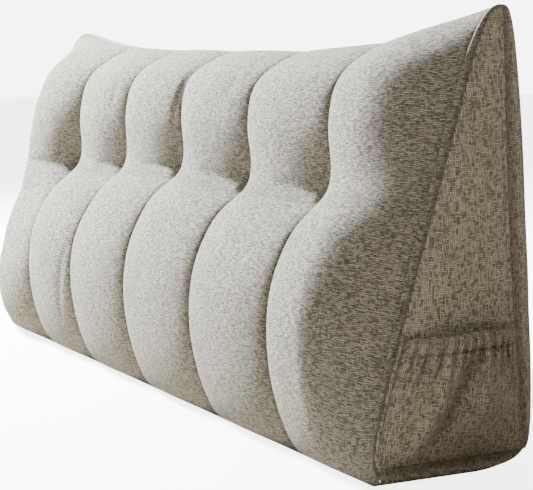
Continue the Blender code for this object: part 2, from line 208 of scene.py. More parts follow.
@dataclass(frozen=True)
class PillowForm:
    """The pillow's whole shape, worked out from its driving sizes."""

    length: float = 1.200
    height: float = 0.500
    base_depth: float = 0.183
    top_y: float = 0.056
    front_foot_z: float = 0.022
    back_foot_z: float = 0.023
    top_sag: float = 0.040
    top_sag_power: float = 3.6
    top_tilt: float = 0.004
    end_seam_bow: float = 0.019
    top_corner_fill: float = 1.2
    foot_corner_fill: float = 0.8
    end_channel_power: float = 1.6
    front_swell_power: float = 0.92
    back_swell: float = 0.045
    back_swell_power: float = 0.21
    back_seam_bow: float = 0.005
    back_end_power: float = 30.0
    end_swell: float = 0.010
    end_swell_reach: float = 0.040
    foot_rounding: float = 0.022
    back_foot_rounding: float = 0.055
    front_foot_tuck: float = 0.004
    foot_fade_power: float = 5.0
    tuft_along: float = 0.589
    pit_depth: float = 0.059
    pit_across: float = 0.125
    pit_skew: float = 0.25
    pit_above: float = 0.102
    pit_below: float = 0.050
    pit_sharpness: float = 1.5
    pit_rounding: float = 0.012
    seat_half: float = 0.0145
    lean_top: float = -0.052
    lean_foot: float = 0.075
    welt_width: float = 0.0065
    welt_height: float = 0.0032
    groove_depth: float = 0.0012
    ditch_width: float = 0.0015
    ditch_depth: float = 0.0013
    end_roll_width: float = 0.0050
    end_roll_height: float = 0.0010
    tufts: tuple[Tuft, ...] = (
        Tuft(x=-0.385, rise=-0.010),
        Tuft(x=-0.203, rise=-0.001),
        Tuft(x=-0.010, rise=0.009),
        Tuft(x=0.196, rise=0.003),
        Tuft(x=0.402, rise=-0.001),
    )
    channels: tuple[Channel, ...] = (
        Channel(foot=1.18, low=0.92, belly=0.80, waist=1.02, high=0.98, pit=0.0),
        Channel(belly=0.98),
        Channel(low=1.01, high=1.01),
        Channel(),
        Channel(),
        Channel(pit=0.7),
    )
    channel_heights: tuple[float, ...] = (0.05, 0.25, 0.45, 0.62, 0.93)
    front_rows: tuple[FrontRow, ...] = (
        FrontRow(along=0.00, crest=0.093, crease=0.045),
        FrontRow(along=0.12, crest=0.099, crease=0.026),
        FrontRow(along=0.30, crest=0.104, crease=0.021),
        FrontRow(along=0.45, crest=0.095, crease=0.020),
        FrontRow(along=0.60, crest=0.089, crease=0.020),
        FrontRow(along=0.75, crest=0.108, crease=0.023),
        FrontRow(along=0.88, crest=0.119, crease=0.023),
        FrontRow(along=1.00, crest=0.092, crease=0.021),
    )
    folds: tuple[Fold, ...] = (
        Fold(start=(-0.018, 0.95), middle=(-0.01, 0.84), end=(-0.028, 0.69), width=0.0042, height=-0.0034),
        Fold(start=(0.125, 0.965), middle=(0.152, 0.885), end=(0.165, 0.8), width=0.0046, height=-0.0032),
        Fold(start=(0.13, 0.995), middle=(0.163, 0.945), end=(0.177, 0.865), width=0.0046, height=-0.003),
        Fold(start=(-0.411, 0.995), middle=(-0.35, 0.95), end=(-0.283, 0.85), width=0.006, height=-0.0032),
        Fold(start=(-0.233, 0.88), middle=(-0.237, 0.815), end=(-0.231, 0.745), width=0.0046, height=-0.0028),
        Fold(start=(-0.482, 0.99), middle=(-0.458, 0.955), end=(-0.452, 0.905), width=0.006, height=-0.0026),
        Fold(start=(-0.525, 0.545), middle=(-0.44, 0.549), end=(-0.368, 0.584), width=0.009, height=-0.005),
        Fold(start=(-0.214, 0.31), middle=(-0.236, 0.165), end=(-0.244, 0.04), width=0.006, height=-0.0028),
        Fold(start=(0.564, 0.105), middle=(0.582, 0.06), end=(0.588, 0.01), width=0.005, height=-0.0034),
        Fold(start=(0.54, 0.085), middle=(0.558, 0.05), end=(0.556, 0.005), width=0.006, height=-0.0026),
        Fold(start=(-0.198, 0.584), middle=(-0.245, 0.584), end=(-0.268, 0.592), width=0.007, height=-0.003),
        Fold(start=(-0.004, 0.585), middle=(-0.06, 0.584), end=(-0.092, 0.594), width=0.0075, height=-0.0032),
        Fold(start=(0.202, 0.585), middle=(0.14, 0.584), end=(0.112, 0.596), width=0.008, height=-0.0034),
        Fold(start=(0.408, 0.585), middle=(0.348, 0.584), end=(0.312, 0.6), width=0.0085, height=-0.0038),
    )

    @property
    def half(self) -> float:
        """Half the length."""
        return self.length / 2

    @property
    def front_foot_y(self) -> float:
        """Y of the front foot seam."""
        return -self.base_depth / 2

    @property
    def back_foot_y(self) -> float:
        """Y of the back foot seam."""
        return self.base_depth / 2

    @property
    def panel(self) -> float:
        """Height of the front panel between its seams, on the slant."""
        return math.hypot(self.top_y - self.front_foot_y, self.height - self.front_foot_z)

    def top_height(self, x: Array) -> Array:
        """Height of the top edge, which sags between its two ears."""
        sag = self.top_sag * (1 - np.abs(x / self.half) ** self.top_sag_power)
        return self.height - sag - self.top_tilt * np.sin(math.pi * x / self.half)

    def settling(self, x: Array) -> Array:
        """How far the underside has come down to the floor: 0 at an end seam, 1 further in."""
        return Curves.quarter_round(self.half - np.abs(x), self.foot_rounding)

    def welt(self, x: Array) -> Array:
        """Height of the sewn welt beside an end seam and of the stitched groove beside it."""
        inward = self.half - np.abs(x)
        roll = np.sin(math.pi * np.clip(inward / self.welt_width, 0, 1)) ** 0.7
        stitched = Curves.bump(inward - self.welt_width * 1.08, 0.0012)
        return self.welt_height * roll - self.groove_depth * stitched

    def ditch(self, distance: Array) -> Array:
        """How far the seam draws the cloth in at a distance from it."""
        return self.ditch_depth * Curves.bump(distance, self.ditch_width)

    def painted_seam_shade(self, distance: Array) -> Array:
        """How deep in a seam the cloth lies at a distance from it, from 0 to 1, as painted shade that darkens
        the colour.
        """
        stitched = Curves.bump(distance - self.welt_width * 1.08, 0.0010)
        return np.clip(0.8 * Curves.bump(distance, 0.0012) + 0.35 * stitched, 0, 1)

    def painted_crease_shade(self, x: Array, along: Array) -> Array:
        """How deep in a crease of the front the cloth lies, from 0 to 1, as painted shade that darkens the
        colour.
        """
        nearest = np.min([np.abs(x - tuft.x) for tuft in self.tufts], axis=0)
        sewn = np.clip(np.sin(math.pi * np.clip(along, 0, 1)), 0, 1) ** 0.5
        return 0.75 * Curves.bump(nearest, 0.0045) * sewn

    def edges(self) -> Array:
        """Pattern places of the end seams and of the creases between them."""
        return np.array([-self.half] + [tuft.x for tuft in self.tufts] + [self.half])

    def row_values(self, column: str, along: Array) -> Array:
        """Read one column of the front's rows at any share of the way up."""
        places = np.array([row.along for row in self.front_rows])
        values = np.array([getattr(row, column) for row in self.front_rows])
        return Curves.smooth_read(places, values, along)

    def front_height(self, x: Array, along: Array) -> Array:
        """How far the front stands out from the plane through its foot and top seams.

        Args:
            x: Places on the flat pattern, along the length.
            along: Places on the flat pattern, as shares of the way up.

        Returns:
            Heights in metres.
        """
        edges = self.edges()
        swell = np.sin(np.arccos(np.clip(1 - 2 * along, -1, 1))) ** self.front_swell_power
        crest = self.row_values("crest", along) * swell
        crease = self.row_values("crease", along) * np.sqrt(swell)
        fill = self.top_corner_fill * along ** 6 + self.foot_corner_fill * (1 - along) ** 8
        seam = self.end_seam_bow * swell * (1 + fill)
        channel = np.clip(np.searchsorted(edges, x) - 1, 0, len(edges) - 2)
        left, right = edges[channel], edges[channel + 1]
        half_width = (right - left) / 2
        t = np.clip((x - left) / half_width - 1, -1, 1)
        arch = np.sqrt(1 - t * t)
        middle = 1 - t * t
        fullness = np.ones(np.broadcast(x, along).shape)
        for number, row in enumerate(self.channels):
            own = np.interp(along, self.channel_heights, (row.foot, row.low, row.belly, row.waist, row.high))
            fullness = np.where(channel == number, own, fullness)
        pit_share = np.array([row.pit for row in self.channels])[channel]
        crest = crest * (1 - (1 - fullness) * middle)
        outer = ((channel == 0) & (t < 0)) | ((channel == len(edges) - 2) & (t > 0))
        reach = half_width * 0.75 * np.where(outer, 1 + t * t, 1 - t * t)
        up = (along - self.tuft_along) * self.panel
        pit_up = np.where(up > 0, self.pit_above, self.pit_below)
        pit_across = self.pit_across * (1 + self.pit_skew * np.sin(math.pi / 2 * t))
        distance = np.sqrt((reach / pit_across) ** 2 + (up / pit_up) ** 2 + self.pit_rounding)
        pit = self.pit_depth * np.exp(-self.pit_sharpness * distance) * (1 - (1 - pit_share) * middle)
        inner_height = crest - crease * (1 - arch) - pit
        fade = 1 - np.abs(t) ** self.end_channel_power
        outer_height = seam + (crest - seam - pit * fade) * fade
        return np.where(outer, outer_height, inner_height)

    def seated_height(self, x: Array, along: Array) -> Array:
        """The front's height with a soft flat seat for the button at each tuft."""
        height = self.front_height(x, along)
        up = (along - self.tuft_along) * self.panel
        for tuft in self.tufts:
            floor = self.front_height(np.array(tuft.x), np.array(self.tuft_along))
            away = np.maximum(np.hypot(x - tuft.x, up) - self.seat_half, 0)
            height = height + (floor - height) * Curves.bump(away, 0.004)
        return height

    def fold_height(self, x: Array, along: Array) -> Array:
        """Height of the tension folds at places on the front's pattern."""
        total = np.zeros(np.broadcast(x, along).shape)
        for fold in self.folds:
            nearest = np.full(total.shape, 9.0)
            way = np.zeros(total.shape)
            places = (fold.start, fold.middle, fold.end)
            start, middle, end = (np.array([a, b * self.panel]) for a, b in places)
            for t in np.linspace(0, 1, 25):
                point = start * (1 - t) ** 2 + 2 * middle * t * (1 - t) + end * t * t
                away = np.hypot(x - point[0], along * self.panel - point[1])
                way = np.where(away < nearest, t, way)
                nearest = np.minimum(nearest, away)
            total = total + fold.height * Curves.bump(nearest, fold.width) * np.sin(math.pi * way) ** 0.8
        return total

    def front_point(self, x: Any, along: Any) -> Array:
        """Points of the front panel at places on its flat pattern."""
        x, along = np.broadcast_arrays(np.asarray(x, float), np.asarray(along, float))
        inside = np.clip(np.sin(math.pi * np.clip(along, 0, 1)), 0, 1)
        height = self.seated_height(x, along) + self.welt(x) * inside ** 0.25
        height = height + self.fold_height(x, along) * inside ** 0.5
        uneven = Curves.ripple(x, along * self.panel, (0.31, 0.19, 0.12), 0.7)
        from_end = np.clip((self.half - np.abs(x)) / 0.05, 0, 1)
        height = height + 0.0012 * uneven * inside * from_end
        rise = np.interp(x, [tuft.x for tuft in self.tufts], [tuft.rise for tuft in self.tufts])
        share = along + rise / self.panel * np.sin(math.pi * along) / math.sin(math.pi * self.tuft_along)
        over = along - self.tuft_along
        lean = np.where(over > 0, self.lean_top, -self.lean_foot) * over
        leaned = x * (1 + 1.5 * lean * (1 - (x / self.half) ** 2))
        run = self.top_y - self.front_foot_y
        climb = self.top_height(leaned) - self.front_foot_z
        slant = np.hypot(run, climb)
        y = self.front_foot_y + run * share - climb / slant * height
        z = self.front_foot_z + climb * share + run / slant * height
        settled = self.settling(leaned) * np.clip(1 - share, 0, 1) ** self.foot_fade_power
        y = y + self.front_foot_tuck * settled
        z = z - self.front_foot_z * settled
        drawn = self.ditch(self.half - np.abs(x))
        return np.stack([leaned - np.sign(x) * drawn, y + drawn * inside ** 0.25, np.maximum(z, 0.0)], -1)

    def back_point(self, x: Any, down: Any) -> Array:
        """Points of the back panel, from the top (down 0) to the foot (down 1)."""
        x, down = np.broadcast_arrays(np.asarray(x, float), np.asarray(down, float))
        ends = np.sqrt(np.clip(1 - np.abs(x / self.half) ** self.back_end_power, 0, 1))
        inside = np.clip(np.sin(math.pi * down), 0, 1)
        swell = self.back_swell * inside ** self.back_swell_power * ends
        uneven = Curves.ripple(x, down * self.panel, (0.37, 0.23, 0.14), 2.9)
        swell = swell + 0.0015 * uneven * inside * ends
        run = self.back_foot_y - self.top_y
        drop = self.top_height(x) - self.back_foot_z
        slant = np.hypot(run, drop)
        y = self.top_y + run * down - self.back_seam_bow * np.sin(math.pi * down) + drop / slant * swell
        z = self.top_height(x) - drop * down + run / slant * swell
        return np.stack([x - np.sign(x) * self.ditch(self.half - np.abs(x)), y, z], -1)

    def underside_point(self, x: Any, forward: Any) -> Array:
        """Points of the underside, from the back foot (0) to the front foot (1)."""
        x, forward = np.broadcast_arrays(np.asarray(x, float), np.asarray(forward, float))
        seam_z = self.back_foot_z + (self.front_foot_z - self.back_foot_z) * forward
        back_rise = Curves.quarter_round(self.base_depth * forward, self.back_foot_rounding)
        y = self.back_foot_y - (self.base_depth - self.front_foot_tuck * self.settling(x)) * forward
        z = seam_z * (1 - self.settling(x) * back_rise) - self.welt(x) * back_rise
        drawn = self.ditch(self.half - np.abs(x))
        return np.stack([x - np.sign(x) * drawn, y, np.maximum(z + drawn * back_rise, 0.0)], -1)

    def front_seam_y(self, z: Array) -> Array:
        """Y of an end panel's front seam at a height."""
        seam = self.front_point(self.half, np.linspace(0, 1, 200))
        return np.interp(z, seam[:, 2], seam[:, 1])

    def back_seam_y(self, z: Array) -> Array:
        """Y of an end panel's back seam at a height."""
        seam = self.back_point(self.half, np.linspace(1, 0, 60))
        return np.interp(z, seam[:, 2], seam[:, 1])

    def end_insets(self, y: Array, z: Array) -> tuple[Array, Array, Array]:
        """How far inside its front, back and foot seams a place on an end panel lies."""
        return y - self.front_seam_y(z), self.back_seam_y(z) - y, z - self.front_foot_z

    def end_inset(self, y: Array, z: Array) -> Array:
        """How far inside its nearest seam a place on an end panel lies."""
        return np.maximum(np.minimum.reduce(np.broadcast_arrays(*self.end_insets(y, z))), 0)

    def end_reach(self, y: Array, z: Array) -> Array:
        """How far an end panel stands out beyond its seams at a place on it."""
        swell = np.full(np.broadcast(y, z).shape, self.end_swell)
        for inset in self.end_insets(y, z):
            swell = swell * np.tanh(np.maximum(inset, 0) / self.end_swell_reach)
        nearest = self.end_inset(y, z)
        roll = self.end_roll_height * np.sin(math.pi * np.clip(nearest / self.end_roll_width, 0, 1))
        # The welt dies away where the seam turns under at the foot
        roll = roll * np.clip(z / 0.05, 0.1, 1.0)
        return swell + roll - self.ditch(nearest)


class MeshMaker:
    """Gathers points and faces with a place on the cloth for each face corner."""

    def __init__(self) -> None:
        """Start with nothing."""
        self.points: list[Array] = []
        self.faces: list[Array] = []
        self.corners: list[Array] = []
        self.painted_shades: list[Array] = []
        self.count = 0

    def add_points(self, points: Array, shade: Union[float, Array] = 0.0) -> Array:
        """Add points and return their numbers, in the same layout.

        Args:
            points: The points.
            shade: How deep in a seam or crease each lies, from 0 to 1, which darkens the colour as painted
                shade.

        Returns:
            Their numbers.
        """
        flat = points.reshape(-1, 3)
        numbers = np.arange(self.count, self.count + len(flat)).reshape(points.shape[:-1])
        self.points.append(flat)
        self.painted_shades.append(np.broadcast_to(shade, points.shape[:-1]).ravel())
        self.count += len(flat)
        return numbers

    def add_quads(self, numbers: Array, cloth: Array) -> None:
        """Add the four-sided faces of a grid of point numbers.

        Args:
            numbers: Point numbers, rows by columns.
            cloth: Places on the cloth in metres, rows by columns by 2.
        """
        for store, grid in ((self.faces, numbers), (self.corners, cloth)):
            ring = np.stack([grid[:-1, :-1], grid[1:, :-1], grid[1:, 1:], grid[:-1, 1:]], 2)
            store.append(ring.reshape((-1, 4) + grid.shape[2:]))

    def build(self, name: str) -> bpy.types.Object:
        """Make the object, with its places on the cloth and its painted shade values.

        Args:
            name: The piece's name.

        Returns:
            The new object, at the origin.
        """
        points = np.concatenate(self.points)
        faces = np.concatenate(self.faces)
        corners = np.concatenate(self.corners)
        mesh = bpy.data.meshes.new(name)
        mesh.from_pydata(points.tolist(), [], faces.tolist())
        layer = mesh.uv_layers.new(name=WEAVE_MAP)
        layer.uv.foreach_set("vector", corners.reshape(-1).astype(np.float32))
        # The painted shade, which darkens the cloth's colour
        shade = mesh.attributes.new(PAINTED_SHADE, "FLOAT", "POINT")
        shade.data.foreach_set("value", np.concatenate(self.painted_shades).astype(np.float32))
        mesh.update()
        mesh.validate()
        piece = bpy.data.objects.new(name, mesh)
        bpy.context.collection.objects.link(piece)
        return piece


def close_mesh(piece: bpy.types.Object, merge: float = 0.00002) -> None:
    """Merge doubled points, turn the faces outwards and shade them smooth."""
    work = bmesh.new()
    work.from_mesh(piece.data)
    bmesh.ops.remove_doubles(work, verts=work.verts, dist=merge)
    bmesh.ops.dissolve_degenerate(work, edges=work.edges, dist=merge / 4)
    bmesh.ops.recalc_face_normals(work, faces=work.faces)
    work.to_mesh(piece.data)
    work.free()
    piece.data.shade_smooth()


class Value:
    """A shader socket that takes part in Python expressions."""

    def __init__(self, tree: "ShaderTree", socket: Any) -> None:
        """Wrap a node's output socket."""
        self.tree = tree
        self.socket = socket

    def _math(self, operation: str, *values: Number) -> "Value":
        """Add a Math node on numbers and sockets."""
        return self.tree.add("ShaderNodeMath", {"operation": operation}, values)

    def __add__(self, other: Number) -> "Value":
        """Add."""
        return self._math("ADD", self, other)

    __radd__ = __add__

    def __mul__(self, other: Number) -> "Value":
        """Multiply."""
        return self._math("MULTIPLY", self, other)

    __rmul__ = __mul__

    def __sub__(self, other: Number) -> "Value":
        """Subtract."""
        return self._math("SUBTRACT", self, other)

    def __rsub__(self, other: Number) -> "Value":
        """Subtract from a number."""
        return self._math("SUBTRACT", other, self)

    def sine(self) -> "Value":
        """Sine, in radians."""
        return self._math("SINE", self)

    def absolute(self) -> "Value":
        """Distance from zero."""
        return self._math("ABSOLUTE", self)

    def floor(self) -> "Value":
        """Whole number below."""
        return self._math("FLOOR", self)

    def highest(self, other: Number) -> "Value":
        """The higher of two."""
        return self._math("MAXIMUM", self, other)

    def ramp(self, low: float, high: float, out_low: float = 0.0, out_high: float = 1.0) -> "Value":
        """Map a range onto another, smoothly and held at its ends."""
        settings = {"interpolation_type": "SMOOTHSTEP"}
        return self.tree.add("ShaderNodeMapRange", settings, (self, low, high, out_low, out_high))


class ShaderTree:
    """Builds one material's nodes."""

    def __init__(self, name: str) -> None:
        """Start a material with its shader and output."""
        self.material = bpy.data.materials.new(name)
        self.material.use_nodes = True
        self.nodes = self.material.node_tree.nodes
        self.links = self.material.node_tree.links
        self.shader = self.nodes["Principled BSDF"]

    def add(
        self,
        kind: str,
        settings: Optional[dict[str, Any]] = None,
        inputs: Union[Sequence[Any], dict[Any, Any], None] = None,
        output: Union[int, str] = 0,
    ) -> Value:
        """Add any node.

        Args:
            kind: The node's type.
            settings: Its properties, set first.
            inputs: Values or links of its sockets, in order or by name.
            output: The output socket wanted.

        Returns:
            That socket, wrapped.
        """
        node = self.nodes.new(kind)
        for key, setting in (settings or {}).items():
            setattr(node, key, setting)
        named = inputs if isinstance(inputs, dict) else dict(enumerate(inputs or ()))
        for key, given in named.items():
            self.connect(node.inputs[key], given)
        return Value(self, node.outputs[output])

    def connect(self, socket: Any, given: Any) -> None:
        """Link a socket to a wrapped one, or set its value."""
        if isinstance(given, Value):
            self.links.new(given.socket, socket)
        else:
            socket.default_value = given

    def mix(self, factor: Number, first: Any, second: Any, blend: str = "MIX") -> Value:
        """Mix two colours."""
        settings = {"data_type": "RGBA", "blend_type": blend, "clamp_factor": True}
        return self.add("ShaderNodeMix", settings, {0: factor, 6: first, 7: second}, 2)


def linear(red: float, green: float, blue: float) -> tuple[float, float, float, float]:
    """A colour socket's value."""
    return (red, green, blue, 1.0)


@dataclass(frozen=True)
class SlubCloth:
    """A linen-look cloth: uneven light and dark threads woven crosswise."""

    name: str
    dark: tuple[float, float, float]
    middle: tuple[float, float, float]
    light: tuple[float, float, float]
    thread: float = 0.0009
    slub: float = 0.0066
    fatness: float = 0.30
    pitch: float = 0.0019
    upright_length: float = 0.0120
    level_length: float = 0.0075
    hatching: float = 1.15
    mean_hatch: float = 0.50
    thread_apart: float = 7.31
    wander: float = 0.004
    wander_scale: float = 55.0
    roughness: float = 0.90
    sheen: float = 0.12
    relief: float = 0.0018
    contrast: float = 2.3
    front_contrast: float = 5.0

    def streaks(self, tree: ShaderTree, place: Value, across: float, along: float, turn: float) -> Value:
        """Noise drawn out along the threads.

        Args:
            tree: The material being built.
            place: Place on the cloth, in metres.
            across: Size of a streak across the thread.
            along: Size of a streak along the thread.
            turn: 0 for threads along the second axis, 1 for threads along the first.

        Returns:
            The noise, about 0.5.
        """
        sizes = (along, across) if turn else (across, along)
        scaled = tree.add(
            "ShaderNodeMapping",
            {"vector_type": "POINT"},
            {
                "Vector": place,
                "Scale": (1 / sizes[0], 1 / sizes[1], 1.0),
                "Location": (turn * 37.0, turn * 11.0, 0.0),
            },
        )
        settings = {"noise_dimensions": "2D"}
        sockets = {"Vector": scaled, "Scale": 1.0, "Detail": 2.0, "Roughness": 0.6}
        return tree.add("ShaderNodeTexNoise", settings, sockets)

    def lines(self, tree: ShaderTree, across: Value, along: Value, length: float) -> Value:
        """Separate light threads, each of which comes and goes along its length.

        Args:
            tree: The material being built.
            across: Place across the threads, in metres.
            along: Place along them, in metres.
            length: How long a thread stays light.

        Returns:
            1 in the middle of a light thread and 0 between threads.
        """
        step = across * (1 / self.pitch)
        number = step.floor()
        middle = ((step - number) * 2 - 1).absolute() * -1 + 1
        sockets = {"X": number * self.thread_apart, "Y": along * (1 / length)}
        spot = tree.add("ShaderNodeCombineXYZ", None, sockets, "Vector")
        settings = {"noise_dimensions": "2D"}
        shown = tree.add("ShaderNodeTexNoise", settings, {"Vector": spot, "Scale": 1.0, "Detail": 1.0})
        return middle.ramp(0.0, 0.7) * shown.ramp(0.32, 0.68, 0.32, 1.0)

    def build(self) -> bpy.types.Material:
        """Build the cloth's material."""
        tree = ShaderTree(self.name)
        place = tree.add("ShaderNodeUVMap", {"uv_map": WEAVE_MAP})
        warp = self.streaks(tree, place, self.thread, self.slub, 0.0)
        weft = self.streaks(tree, place, self.thread, self.slub, 1.0)
        fat_warp = self.streaks(tree, place, self.thread * 1.5, self.slub * 3.0, 0.0)
        fat_weft = self.streaks(tree, place, self.thread * 1.5, self.slub * 3.0, 1.0)
        # Upright threads show more on the ends and level threads more on the front
        reach = tree.add("ShaderNodeVectorMath", {"operation": "LENGTH"}, {0: place}, "Value")
        front = reach.ramp(1.20, 1.25, 1.0, 0.0)
        upright = front * -0.26 + 0.60
        fine = weft + (warp - weft) * upright
        fat = fat_weft + (fat_warp - fat_weft) * upright
        strength = front * (self.front_contrast - self.contrast) + self.contrast
        across = tree.add("ShaderNodeSeparateXYZ", None, {"Vector": place}, "X")
        along = tree.add("ShaderNodeSeparateXYZ", None, {"Vector": place}, "Y")
        drift = tree.add(
            "ShaderNodeTexNoise",
            {"noise_dimensions": "2D"},
            {"Vector": place, "Scale": self.wander_scale, "Detail": 1.0},
        )
        upright_lines = self.lines(tree, across + drift * self.wander, along, self.upright_length)
        level_lines = self.lines(tree, along + drift * self.wander, across, self.level_length)
        # The front shows its level threads most
        hatch = level_lines.highest(upright_lines * (front * -0.45 + 1.0))
        tone = (fine * (1 - self.fatness) + fat * self.fatness - 0.5) * strength
        tone = tone + (hatch - self.mean_hatch) * self.hatching + 0.5
        colour = tree.mix(tone.ramp(0.52, 0.0), linear(*self.middle), linear(*self.dark))
        colour = tree.mix(tone.ramp(0.48, 1.0), colour, linear(*self.light))
        # Broad patches where the dye took a little more or less
        patch = tree.add(
            "ShaderNodeTexNoise",
            {"noise_dimensions": "2D"},
            {"Vector": place, "Scale": 9.0, "Detail": 3.0, "Roughness": 0.55},
        )
        colour = tree.mix(patch.ramp(0.35, 0.70, 0.0, 0.14), colour, linear(0.62, 0.58, 0.52), "MULTIPLY")
        # Painted shade: deep in its seams, creases, gathers and folds the cloth gets no light, so its colour
        # is darkened there towards a dark tone
        deep = tree.add("ShaderNodeAttribute", {"attribute_name": PAINTED_SHADE}, None, "Fac")
        colour = tree.mix(deep * 0.75, colour, linear(*(part * 0.45 for part in self.dark)))
        tree.connect(tree.shader.inputs["Base Color"], colour)
        rough = tone.ramp(0.2, 0.9, self.roughness + 0.06, self.roughness - 0.06)
        tree.connect(tree.shader.inputs["Roughness"], rough)
        # The plain weave itself, over and under, on top of the uneven threads
        pitch = math.pi / self.thread
        weave = (across * pitch).sine() * (along * pitch).sine()
        height = fine * 1.2 + fat * 0.6 + hatch * 0.6 + weave * 0.14
        height = height * (front * 0.8 + 1.0)
        sockets = {"Strength": 0.9, "Distance": self.relief, "Height": height}
        normal = tree.add("ShaderNodeBump", None, sockets)
        tree.connect(tree.shader.inputs["Normal"], normal)
        tree.shader.inputs["Metallic"].default_value = 0.0
        tree.shader.inputs["Sheen Weight"].default_value = self.sheen
        tree.shader.inputs["Sheen Roughness"].default_value = 0.5
        tree.shader.inputs["Sheen Tint"].default_value = linear(1.0, 1.0, 1.0)
        return tree.material


@dataclass(frozen=True)
class SewingThread:
    """The plied thread of the topstitching."""

    name: str = "topstitch_thread"
    colour: tuple[float, float, float] = (0.21, 0.18, 0.125)

    def build(self) -> bpy.types.Material:
        """Build the thread's material, with its ply as fine slanting bands."""
        tree = ShaderTree(self.name)
        place = tree.add("ShaderNodeTexCoord", None, None, "Object")
        ply = tree.add("ShaderNodeTexNoise", None, {"Vector": place, "Scale": 1600.0, "Detail": 1.0})
        shade = ply.ramp(0.35, 0.65)
        darker = tuple(part * 0.62 for part in self.colour)
        tree.connect(tree.shader.inputs["Base Color"], tree.mix(shade, linear(*darker), linear(*self.colour)))
        normal = tree.add("ShaderNodeBump", None, {"Strength": 0.5, "Distance": 0.0002, "Height": ply})
        tree.connect(tree.shader.inputs["Normal"], normal)
        tree.shader.inputs["Roughness"].default_value = 0.7
        return tree.material


BODY_CLOTH = SlubCloth(
    name="linen_look_cloth",
    dark=(0.090, 0.076, 0.044),
    middle=(0.250, 0.224, 0.163),
    light=(0.560, 0.520, 0.420),
)
POCKET_CLOTH = SlubCloth(
    name="pocket_cloth",
    dark=(0.078, 0.061, 0.034),
    middle=(0.218, 0.187, 0.130),
    light=(0.500, 0.450, 0.352),
)
BUTTON_CLOTH = SlubCloth(
    name="button_cloth",
    dark=(0.090, 0.076, 0.044),
    middle=(0.250, 0.224, 0.163),
    light=(0.560, 0.520, 0.420),
)


def put_material(piece: bpy.types.Object, material: bpy.types.Material) -> None:
    """Give a piece one material."""
    piece.data.materials.clear()
    piece.data.materials.append(material)


